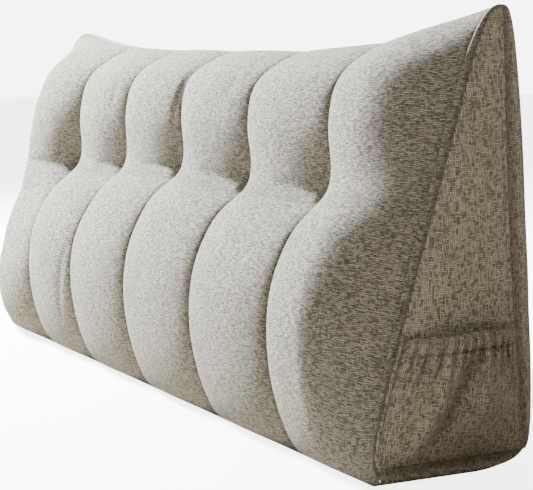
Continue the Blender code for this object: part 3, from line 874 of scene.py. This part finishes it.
@dataclass
class Cushion:
    """The filled body: channelled front, back, underside and two end panels."""

    form: PillowForm
    name: str = "cushion_body"
    rings: tuple[float, ...] = (0.994, 0.986, 0.976, 0.965, 0.95, 0.93, 0.90, 0.86, 0.81, 0.75,
                                0.68, 0.60, 0.51, 0.41, 0.31, 0.21, 0.11)
    end_centre: tuple[float, float] = (0.025, 0.185)

    def stations(self) -> Array:
        """Pattern places of the sections, close together beside creases and end seams."""
        half = self.form.half
        marks = [(tuft.x, 0.0010, 0.032) for tuft in self.form.tufts]
        marks += [(-half, 0.0008, 0.022), (half, 0.0008, 0.022)]
        return Curves.spaced(marks, -half, half, 0.0046)

    def front_shares(self) -> Array:
        """Rows up the front, close together at its seams and at the tufts."""
        panel = self.form.panel
        marks = [
            (0.0, 0.0012 / panel, 0.03),
            (1.0, 0.0012 / panel, 0.03),
            (self.form.tuft_along, 0.0016 / panel, 0.10),
        ]
        return Curves.spaced(marks, 0.0, 1.0, 0.0056 / panel)

    @staticmethod
    def cloth_places(grid: Array, panel: Panel) -> Array:
        """Places on the cloth of a grid of points, measured along its surface.

        Args:
            grid: Points, sections by rows.
            panel: Where the panel lies on the cloth.

        Returns:
            Places in metres, in the same layout, that grow from the grid's middle.
        """
        across = np.linalg.norm(np.diff(grid, axis=0), axis=2)
        across = np.insert(np.cumsum(across, axis=0), 0, 0.0, axis=0)
        across = across - across[len(across) // 2] + grid[:, :, 0].mean()
        climb = np.linalg.norm(np.diff(grid, axis=1), axis=2).mean(axis=0)
        climb = np.insert(np.cumsum(climb), 0, 0.0)
        climb = np.broadcast_to(climb - climb.mean(), across.shape)
        return np.stack([across, climb], 2) + np.array(panel.value)

    def end_rings(self, maker: MeshMaker, loop: Array, outline: Array, side: int, panel: Panel) -> None:
        """Close one end with rings that swell outwards.

        Args:
            maker: The mesh being gathered.
            loop: Point numbers of the end section.
            outline: Its points.
            side: -1 for the left end and 1 for the right end.
            panel: Where the panel lies on the cloth.
        """
        form = self.form
        centre = np.array(self.end_centre)
        rows, numbers = [outline[:, 1:]], [loop]
        for share in self.rings + (0.0,):
            flat = centre + (outline[:, 1:] - centre) * share
            uneven = Curves.ripple(flat[:, 0], flat[:, 1], (0.21, 0.13, 0.09), 1.3 + side)
            reach = form.end_reach(flat[:, 0], flat[:, 1])
            reach = reach + 0.0012 * uneven * np.clip(reach / form.end_swell, 0, 1)
            x = side * (form.half + reach)
            # Painted shade: the end panel's colour darkens into its seams
            shade = form.painted_seam_shade(form.end_inset(flat[:, 0], flat[:, 1]))
            numbers.append(maker.add_points(np.column_stack([x, flat]), shade))
            rows.append(flat)
        cloth = np.stack(rows) + np.array(panel.value)
        maker.add_quads(np.stack(numbers), cloth)

    def build(self, material: bpy.types.Material) -> bpy.types.Object:
        """Build the body's mesh and dress it.

        Args:
            material: The body's cloth.

        Returns:
            The piece.
        """
        form = self.form
        x = self.stations()[:, None]
        shares = self.front_shares()[None, :]
        down = ((1 - np.cos(np.linspace(0, math.pi, 70))) / 2)[None, :]
        forward = Curves.spaced([(0.0, 0.004, 0.3)], 0.0, 1.0, 0.05)[None, :]
        grids = (form.front_point(x, shares), form.back_point(x, down), form.underside_point(x, forward))
        maker = MeshMaker()
        loop_numbers, loop_points = [], []
        ends = np.array([-form.half, form.half])
        # Painted shade: the seams and creases darken the colour by how deep they lie
        seam = form.painted_seam_shade(form.half - np.abs(x))
        creases = form.painted_crease_shade(x, shares)
        painted_shades = (np.maximum(seam, creases), seam, seam)
        for grid, panel, shade in zip(grids, (Panel.FRONT, Panel.BACK, Panel.UNDERSIDE), painted_shades):
            numbers = maker.add_points(grid, np.broadcast_to(shade, grid.shape[:-1]))
            seams = form.edges() if panel is Panel.FRONT else ends
            for left, right in zip(seams, seams[1:]):
                part = (x[:, 0] > left - 1e-6) & (x[:, 0] < right + 1e-6)
                maker.add_quads(numbers[part], self.cloth_places(grid[part], panel))
            loop_numbers.append(numbers)
            loop_points.append(grid)
        for side, row, panel in ((-1, 0, Panel.LEFT_END), (1, -1, Panel.RIGHT_END)):
            loop = np.concatenate([numbers[row] for numbers in loop_numbers])
            outline = np.concatenate([grid[row] for grid in loop_points])
            self.end_rings(maker, loop, outline, side, panel)
        piece = maker.build(self.name)
        close_mesh(piece)
        put_material(piece, material)
        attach(piece, BODY)
        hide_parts("cushion")
        return piece


@dataclass
class Pocket:
    """The gathered pocket on the right end, a sheet with a rolled, elasticated hem."""

    form: PillowForm
    name: str = "end_pocket"
    cloth: float = 0.002
    sewn_gap: float = 0.0014
    side_inset: float = 0.0028
    foot_inset: float = 0.0030
    mouth_z: float = 0.156
    mouth_rise: float = 0.004
    mouth_tilt: float = 0.005
    held_open: float = 0.0135
    full_up: float = 0.45
    hem: float = 0.017
    hem_roll: float = 0.0022
    gathers: float = 12.0
    gather_depth: float = 0.0056
    gather_length: float = 0.030
    flat: tuple[float, float] = (0.195, 0.155)
    folds: tuple[PocketFold, ...] = (
        PocketFold(top=(0.38, 0.90), foot=(0.18, 0.04), height=0.0070, width=0.060),
        PocketFold(top=(0.56, 0.90), foot=(0.28, 0.02), height=-0.0068, width=0.052),
        PocketFold(top=(0.70, 0.90), foot=(0.62, 0.25), height=0.0070, width=0.085),
        PocketFold(top=(0.24, 0.90), foot=(0.06, 0.30), height=0.0030, width=0.030),
        PocketFold(top=(0.16, 0.88), foot=(0.12, 0.30), height=-0.0034, width=0.024),
        PocketFold(top=(0.82, 0.92), foot=(0.94, 0.42), height=-0.0040, width=0.024),
        PocketFold(top=(0.90, 0.92), foot=(0.97, 0.55), height=0.0030, width=0.020),
        PocketFold(top=(0.48, 0.34), foot=(0.80, 0.03), height=0.0030, width=0.040),
    )

    @property
    def hem_up(self) -> float:
        """Share of the way up at which the hem starts."""
        return 1 - self.hem / (self.mouth_z - self.form.front_foot_z)

    def fold_height(self, across: Array, up: Array) -> Array:
        """Height of the long folds."""
        total = np.zeros_like(across)
        for fold in self.folds:
            way = np.clip((fold.top[1] - up) / (fold.top[1] - fold.foot[1]), 0, 1)
            middle = fold.top[0] + (fold.foot[0] - fold.top[0]) * way
            total += fold.height * Curves.bump(across - middle, fold.width) * np.sin(math.pi * way) ** 0.7
        return total

    def gather_height(self, across: Array, up: Array) -> Array:
        """Height of the gathers, which are tight at the hem's stitching and die away below it."""
        drop = np.maximum(self.hem_up - up, 0) * (self.mouth_z - self.form.front_foot_z)
        turn = 2 * math.pi * self.gathers * (across + 0.012 * np.sin(2 * math.pi * 2.3 * across))
        fine = 2 * math.pi * self.gathers * 2.3 * (across + 0.006 * np.sin(2 * math.pi * 3.1 * across + 2))
        length = self.gather_length * (1 + 0.5 * np.sin(2 * math.pi * 3.4 * across + 1.0))
        fade = Curves.bump(drop, length)
        hem = np.where(up > self.hem_up, 0.62, 1.0)
        rolls = (1 - np.cos(turn)) / 2 + 0.34 * (1 - np.cos(fine)) / 2 * Curves.bump(drop, 0.012)
        return self.gather_depth * fade * rolls * hem

    def painted_depth_shade(self, across: Array, up: Array) -> Array:
        """How deep in a gather, fold or seam the cloth lies, from 0 to 1, as painted shade that darkens the
        colour.
        """
        rolls = np.clip(self.gather_height(across, up) / self.gather_depth, 0, 1)
        drop = np.maximum(self.hem_up - up, 0) * (self.mouth_z - self.form.front_foot_z)
        near_hem = Curves.bump(drop, self.gather_length * 0.8) * np.where(up > self.hem_up, 0.7, 1.0)
        valley = np.clip(-self.fold_height(across, up) / 0.0068, 0, 1) ** 1.2
        stitched = Curves.bump((up - self.hem_up) * (self.mouth_z - self.form.front_foot_z), 0.0016)
        sides = Curves.bump(np.minimum(across, 1 - across), 0.006)
        foot = Curves.bump(up, 0.008)
        between = 0.55 * near_hem * (1 - rolls)
        return np.clip(between + 0.55 * valley + 0.4 * stitched + 0.35 * (sides + foot), 0, 1)

    def sheet(self, lift: float) -> Array:
        """Grid of points of the cloth, a given thickness out from its inner face."""
        across, up = np.meshgrid(self.columns(), self.rows(), indexing="ij")
        form = self.form
        foot_z = form.front_foot_z + (form.back_foot_z - form.front_foot_z) * across + self.foot_inset
        mouth_z = self.mouth_z + self.mouth_rise * np.sin(math.pi * across) + self.mouth_tilt * across ** 2
        mouth_z = mouth_z + 0.0008 * np.sin(2 * math.pi * self.gathers * across + 1)
        z = foot_z + (mouth_z - foot_z) * up
        near_y = form.front_seam_y(z) + self.side_inset
        far_y = form.back_seam_y(z) - self.side_inset
        y = near_y + (far_y - near_y) * across
        sides = 1 - np.abs(2 * across - 1) ** 3
        foot = 1 - (1 - np.clip(up / self.full_up, 0, 1)) ** 2
        loose = np.clip(np.sin(math.pi * across), 0, 1) ** 0.5
        relief = (self.gather_height(across, up) + self.fold_height(across, up)) * loose
        gather_line = Curves.bump((up - self.hem_up) * (self.mouth_z - form.front_foot_z), 0.0016)
        hem_bulge = np.sin(math.pi * np.clip((up - self.hem_up) / (1 - self.hem_up), 0, 1)) ** 0.6
        thick = lift * (1 + 0.7 * hem_bulge)
        relief = relief - 0.0016 * gather_line * loose + (self.hem_roll * hem_bulge * loose if lift else 0)
        x = form.half + form.end_reach(y, z) + self.sewn_gap + self.held_open * sides * foot + relief + thick
        return np.stack([x, y, z], -1)

    def columns(self) -> Array:
        """Shares across the pocket."""
        return Curves.spaced([(0.0, 0.0025, 0.1), (1.0, 0.0025, 0.1)], 0.0, 1.0, 0.0052)

    def rows(self) -> Array:
        """Shares up the pocket, close together at its foot, its gather line and its mouth."""
        marks = [(0.0, 0.004, 0.1), (self.hem_up, 0.004, 0.1), (1.0, 0.003, 0.05)]
        return Curves.spaced(marks, 0.0, 1.0, 0.011)

    def build(self, material: bpy.types.Material) -> bpy.types.Object:
        """Build the pocket's sheet and dress it.

        Args:
            material: The pocket's cloth.

        Returns:
            The piece.
        """
        inner, outer = self.sheet(0.0), self.sheet(self.cloth)
        maker = MeshMaker()
        columns, rows = self.columns(), self.rows()
        across, up = np.meshgrid(columns, rows, indexing="ij")
        cloth = np.stack([across * self.flat[0], up * self.flat[1]], 2) + np.array(Panel.POCKET.value)
        # Painted shade: the pocket's inner face is darkened throughout, and its outer face in its gathers,
        # folds and seams
        inner_numbers = maker.add_points(inner, 0.6)
        outer_numbers = maker.add_points(outer, self.painted_depth_shade(across, up))
        maker.add_quads(inner_numbers, cloth)
        maker.add_quads(outer_numbers, cloth)
        for first, second, places in (
            (inner_numbers[0], outer_numbers[0], cloth[0]),
            (inner_numbers[-1], outer_numbers[-1], cloth[-1]),
            (inner_numbers[:, 0], outer_numbers[:, 0], cloth[:, 0]),
        ):
            edge = np.stack([places, places + self.cloth])
            maker.add_quads(np.stack([first, second]), edge)
        # The mouth's edge is a fold of the cloth, so it is round
        lip_points, lip_numbers = [], [inner_numbers[:, -1]]
        for angle in np.linspace(0, math.pi, 6)[1:-1]:
            mix = (1 - math.cos(angle)) / 2
            lip = inner[:, -1] * (1 - mix) + outer[:, -1] * mix
            lip[:, 2] += math.sin(angle) * np.linalg.norm(outer[:, -1] - inner[:, -1], axis=1) / 2
            lip_points.append(lip)
            lip_numbers.append(maker.add_points(lip))
        lip_numbers.append(outer_numbers[:, -1])
        places = np.stack([cloth[:, -1] + np.array([0.0, 0.0006 * step]) for step in range(len(lip_numbers))])
        maker.add_quads(np.stack(lip_numbers), places)
        piece = maker.build(self.name)
        close_mesh(piece)
        put_material(piece, material)
        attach(piece, BODY)
        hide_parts("pocket")
        return piece


@dataclass
class CoveredButton:
    """A domed button with cloth drawn tight over it and gathered under its rim."""

    form: PillowForm
    number: int
    tuft: Tuft
    radius: float = 0.0125
    height: float = 0.0080
    rim: float = 0.0024
    seat_gap: float = 0.0003
    pleats: int = 17
    sides: int = 96

    def seat(self) -> Matrix:
        """Place and turn of the button: its centre on the seat and its axis square to it."""
        form, tuft = self.form, self.tuft
        step = form.seat_half * 0.9
        centre = Vector(form.front_point(tuft.x, form.tuft_along))
        right, left = (Vector(form.front_point(tuft.x + move, form.tuft_along)) for move in (step, -step))
        shares = (form.tuft_along + move / form.panel for move in (step, -step))
        above, below = (Vector(form.front_point(tuft.x, share)) for share in shares)
        side = (right - left).normalized()
        normal = (right - left).cross(above - below).normalized()
        turn = Matrix((side, normal.cross(side), normal)).transposed().to_4x4()
        return Matrix.Translation(centre + normal * self.seat_gap) @ turn

    def profile(self) -> Array:
        """Half section from the flat base's middle, out round the rim and up to the crown."""
        base = [(share * self.radius * 0.95, 0.0) for share in (0.0, 0.5, 0.9, 1.0)]
        angles = np.linspace(0, math.pi / 2, 18)
        rise = self.height - self.rim
        crown = [(self.radius * math.cos(angle) ** 0.92, self.rim + rise * math.sin(angle))
                 for angle in angles]
        return np.array(base + crown)

    def build(self, material: bpy.types.Material) -> bpy.types.Object:
        """Build the button's mesh in its seat and dress it.

        Args:
            material: The button's cloth.

        Returns:
            The piece.
        """
        profile = self.profile()
        angle = np.linspace(0, 2 * math.pi, self.sides + 1)
        radius, height = profile[:, 0][:, None], profile[:, 1][:, None]
        near_rim = Curves.bump((height - self.rim) / self.height, 0.30) * (radius > self.radius * 0.5)
        pleat = 1 - 0.022 * near_rim * (1 + np.cos(self.pleats * angle + self.number))
        # A shallow groove rings the dome where the shell snaps onto its back
        groove = 1 - 0.030 * Curves.bump((height - self.rim * 1.15) / self.height, 0.07)
        reach = radius * pleat * groove
        rise = np.broadcast_to(height, reach.shape)
        points = np.stack([reach * np.cos(angle), reach * np.sin(angle), rise], 2)
        cloth = points[..., :2] + np.array(Panel.BUTTON.value) + self.number * 0.31
        maker = MeshMaker()
        maker.add_quads(maker.add_points(points), cloth)
        piece = maker.build(f"covered_button_{self.number}")
        close_mesh(piece, merge=0.000005)
        piece.data.transform(self.seat())
        put_material(piece, material)
        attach(piece, BODY)
        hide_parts(f"button_{self.number}")
        return piece


@dataclass
class Topstitching:
    """Rows of stitches along the welts, the pocket's sides and foot, and its hem."""

    form: PillowForm
    pocket: Pocket
    name: str = "topstitching"
    pitch: float = 0.0044
    stitch: float = 0.0031
    thread_radius: float = 0.00038

    def paths(self) -> list[Array]:
        """Points along each row of stitches, a little proud of the cloth."""
        form, proud = self.form, self.thread_radius * 0.6
        rows = []
        along = np.linspace(0.035, 0.985, 260)
        for side in (-1, 1):
            line = form.front_point(side * (form.half - form.welt_width * 1.08), along)
            rows.append(line + np.array([0.0, -proud, proud * 0.3]))
        sheet = self.pocket.sheet(self.pocket.cloth)
        columns, ups = self.pocket.columns(), self.pocket.rows()
        out = np.array([proud, 0.0, 0.0])
        rows.append(sheet[:, np.argmin(np.abs(ups - self.pocket.hem_up))] + out)
        rows.append(sheet[:, np.argmin(np.abs(ups - 0.022))] + out)
        for share in (0.02, 0.98):
            rows.append(sheet[np.argmin(np.abs(columns - share))] + out)
        return rows

    def stitch_tree(self, material: bpy.types.Material) -> bpy.types.GeometryNodeTree:
        """Build the node tree that lays stitches along curves."""
        tree = bpy.data.node_groups.new("lay_stitches", "GeometryNodeTree")
        face = tree.interface
        face.new_socket("Geometry", in_out="INPUT", socket_type="NodeSocketGeometry")
        for label in ("Pitch", "Stitch Length", "Thread Radius"):
            face.new_socket(label, in_out="INPUT", socket_type="NodeSocketFloat")
        face.new_socket("Geometry", in_out="OUTPUT", socket_type="NodeSocketGeometry")

        def add(kind: str, settings: Optional[dict[str, Any]] = None, **links: Any) -> Any:
            """Add a node, set its properties and link its sockets by name."""
            node = tree.nodes.new(kind)
            for key, setting in (settings or {}).items():
                setattr(node, key, setting)
            for key, given in links.items():
                socket = node.inputs[key.replace("_", " ")]
                if isinstance(given, bpy.types.NodeSocket):
                    tree.links.new(given, socket)
                else:
                    socket.default_value = given
            return node

        start = add("NodeGroupInput").outputs
        by_length = {"mode": "LENGTH"}
        spaced = add("GeometryNodeResampleCurve", by_length, Curve=start["Geometry"], Length=start["Pitch"])
        tangent = add("GeometryNodeInputTangent")
        turn = add("FunctionNodeAlignRotationToVector", {"axis": "Z"}, Vector=tangent.outputs["Tangent"])
        ball = add("GeometryNodeMeshUVSphere", None, Segments=6, Rings=6, Radius=1.0)
        half = add("ShaderNodeMath", {"operation": "MULTIPLY"})
        tree.links.new(start["Stitch Length"], half.inputs[0])
        half.inputs[1].default_value = 0.5
        thick = start["Thread Radius"]
        size = add("ShaderNodeCombineXYZ", None, X=thick, Y=thick, Z=half.outputs[0])
        placed = add(
            "GeometryNodeInstanceOnPoints",
            None,
            Points=spaced.outputs["Curve"],
            Instance=ball.outputs["Mesh"],
            Rotation=turn.outputs["Rotation"],
            Scale=size.outputs["Vector"],
        )
        solid = add("GeometryNodeRealizeInstances", None, Geometry=placed.outputs["Instances"])
        dressed = add("GeometryNodeSetMaterial", None, Geometry=solid.outputs["Geometry"], Material=material)
        end = tree.nodes.new("NodeGroupOutput")
        tree.links.new(dressed.outputs["Geometry"], end.inputs["Geometry"])
        return tree

    def build(self, material: bpy.types.Material) -> bpy.types.Object:
        """Lay the stitches and turn them into a plain mesh.

        Args:
            material: The thread's finish.

        Returns:
            The piece.
        """
        curve = bpy.data.curves.new("stitch_paths", "CURVE")
        curve.dimensions = "3D"
        for path in self.paths():
            spline = curve.splines.new("POLY")
            spline.points.add(len(path) - 1)
            spline.points.foreach_set("co", np.column_stack([path, np.ones(len(path))]).ravel())
        guide = bpy.data.objects.new("stitch_paths", curve)
        bpy.context.collection.objects.link(guide)
        modifier = guide.modifiers.new("stitches", "NODES")
        tree = self.stitch_tree(material)
        modifier.node_group = tree
        sizes = {"Pitch": self.pitch, "Stitch Length": self.stitch, "Thread Radius": self.thread_radius}
        for item in tree.interface.items_tree:
            if item.in_out == "INPUT" and item.name in sizes:
                modifier[item.identifier] = sizes[item.name]
        deps = bpy.context.evaluated_depsgraph_get()
        mesh = bpy.data.meshes.new_from_object(guide.evaluated_get(deps))
        piece = bpy.data.objects.new(self.name, mesh)
        bpy.context.collection.objects.link(piece)
        bpy.data.objects.remove(guide, do_unlink=True)
        mesh.shade_smooth()
        put_material(piece, material)
        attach(piece, BODY)
        return piece


@dataclass
class Studio:
    """A pale floor and backdrop, soft lights and the camera."""

    camera_place: tuple[float, float, float] = (1.8901, -0.8999, 0.4243)
    camera_yaw: float = 0.4831
    camera_pitch: float = 0.1106
    focal_length: float = 101.9
    sensor: float = 36.0
    floor_reach: float = 30.0
    floor_seen: tuple[float, float, float] = (0.90, 0.90, 0.90)
    floor_bounce: tuple[float, float, float] = (0.36, 0.33, 0.28)
    floor_glow: float = 4.6
    fill_strength: float = 0.265
    backdrop_strength: float = 6.6

    def build_camera(self) -> None:
        """Place the camera at the photograph's angle."""
        data = bpy.data.cameras.new("camera")
        data.lens = self.focal_length
        data.sensor_width = self.sensor
        data.clip_start = 0.05
        camera = bpy.data.objects.new("camera", data)
        bpy.context.collection.objects.link(camera)
        yaw, pitch = self.camera_yaw, self.camera_pitch
        aim = Vector((-math.cos(yaw) * math.cos(pitch), math.sin(yaw) * math.cos(pitch), -math.sin(pitch)))
        right = aim.cross(Vector((0.0, 0.0, 1.0))).normalized()
        turn = Matrix((right, right.cross(aim), -aim)).transposed().to_4x4()
        camera.matrix_world = Matrix.Translation(self.camera_place) @ turn
        bpy.context.scene.camera = camera

    def build_light(self, name: str, place: tuple[float, float, float], target: tuple[float, float, float],
                    size: float, power: float, colour: tuple[float, float, float]) -> None:
        """Place one soft square light.

        Args:
            name: Its name.
            place: Where it hangs.
            target: What it shines at.
            size: Side of the square.
            power: Its power in watts.
            colour: Its colour.
        """
        data = bpy.data.lights.new(name, "AREA")
        data.size = size
        data.energy = power
        data.color = colour
        light = bpy.data.objects.new(name, data)
        bpy.context.collection.objects.link(light)
        light.location = place
        light.rotation_euler = (Vector(target) - Vector(place)).to_track_quat("-Z", "Y").to_euler()

    def build_stage(self) -> None:
        """Lay the floor, a flat square."""
        reach = self.floor_reach
        mesh = bpy.data.meshes.new("studio_floor")
        corners = [(-reach, -reach, 0.0), (reach, -reach, 0.0), (reach, reach, 0.0), (-reach, reach, 0.0)]
        mesh.from_pydata(corners, [], [(0, 1, 2, 3)])
        floor = bpy.data.objects.new("studio_floor", mesh)
        bpy.context.collection.objects.link(floor)
        tree = ShaderTree("pale_floor")
        seen = tree.add("ShaderNodeLightPath", None, None, "Is Camera Ray")
        colour = tree.mix(seen, linear(*self.floor_bounce), linear(*self.floor_seen))
        tree.connect(tree.shader.inputs["Base Color"], colour)
        tree.connect(tree.shader.inputs["Emission Strength"], seen * self.floor_glow)
        tree.shader.inputs["Emission Color"].default_value = linear(1.0, 1.0, 1.0)
        tree.shader.inputs["Roughness"].default_value = 0.9
        tree.shader.inputs["Specular IOR Level"].default_value = 0.2
        put_material(floor, tree.material)

    def build_world(self) -> None:
        """Surround the stage with dim warm light in front of a white background."""
        world = bpy.data.worlds.new("studio")
        world.use_nodes = True
        nodes, links = world.node_tree.nodes, world.node_tree.links
        fill = nodes["Background"]
        fill.inputs["Color"].default_value = linear(1.0, 0.90, 0.78)
        fill.inputs["Strength"].default_value = self.fill_strength
        backdrop = nodes.new("ShaderNodeBackground")
        backdrop.inputs["Color"].default_value = linear(1.0, 1.0, 1.0)
        backdrop.inputs["Strength"].default_value = self.backdrop_strength
        path = nodes.new("ShaderNodeLightPath")
        mix = nodes.new("ShaderNodeMixShader")
        links.new(path.outputs["Is Camera Ray"], mix.inputs["Fac"])
        links.new(fill.outputs["Background"], mix.inputs[1])
        links.new(backdrop.outputs["Background"], mix.inputs[2])
        links.new(mix.outputs["Shader"], nodes["World Output"].inputs["Surface"])
        bpy.context.scene.world = world

    def build(self) -> None:
        """Build the whole studio."""
        self.build_camera()
        self.build_stage()
        self.build_light("key", (-2.13, -0.92, 1.77), (-0.1, -0.1, 0.25), 0.6, 960.0, (0.90, 0.96, 1.0))
        self.build_light("top", (-0.8, 0.6, 2.6), (0.0, 0.0, 0.2), 1.6, 40.0, (1.0, 1.0, 1.0))
        self.build_light("side", (1.7, 1.0, 1.8), (0.6, 0.0, 0.2), 0.4, 10.0, (1.0, 0.90, 0.76))
        self.build_light("front", (1.0, -1.7, 0.9), (0.5, -0.1, 0.25), 0.8, 7.0, (1.0, 0.96, 0.90))
        self.build_world()


def main() -> None:
    """Build the studio and every piece in order, and report each one."""
    logging.basicConfig(level=logging.INFO, format="%(name)s: %(message)s")
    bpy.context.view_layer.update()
    Studio().build()
    form = PillowForm()
    pocket = Pocket(form)
    made = [Cushion(form).build(BODY_CLOTH.build()), pocket.build(POCKET_CLOTH.build())]
    button_cloth = BUTTON_CLOTH.build()
    for number, tuft in enumerate(form.tufts, start=1):
        made.append(CoveredButton(form, number, tuft).build(button_cloth))
    made.append(Topstitching(form, pocket).build(SewingThread().build()))
    for piece in made:
        faces = sum(len(face.vertices) - 2 for face in piece.data.polygons)
        LOG.info("%s: %d triangles", piece.name, faces)


if __name__ == "__main__":
    main()
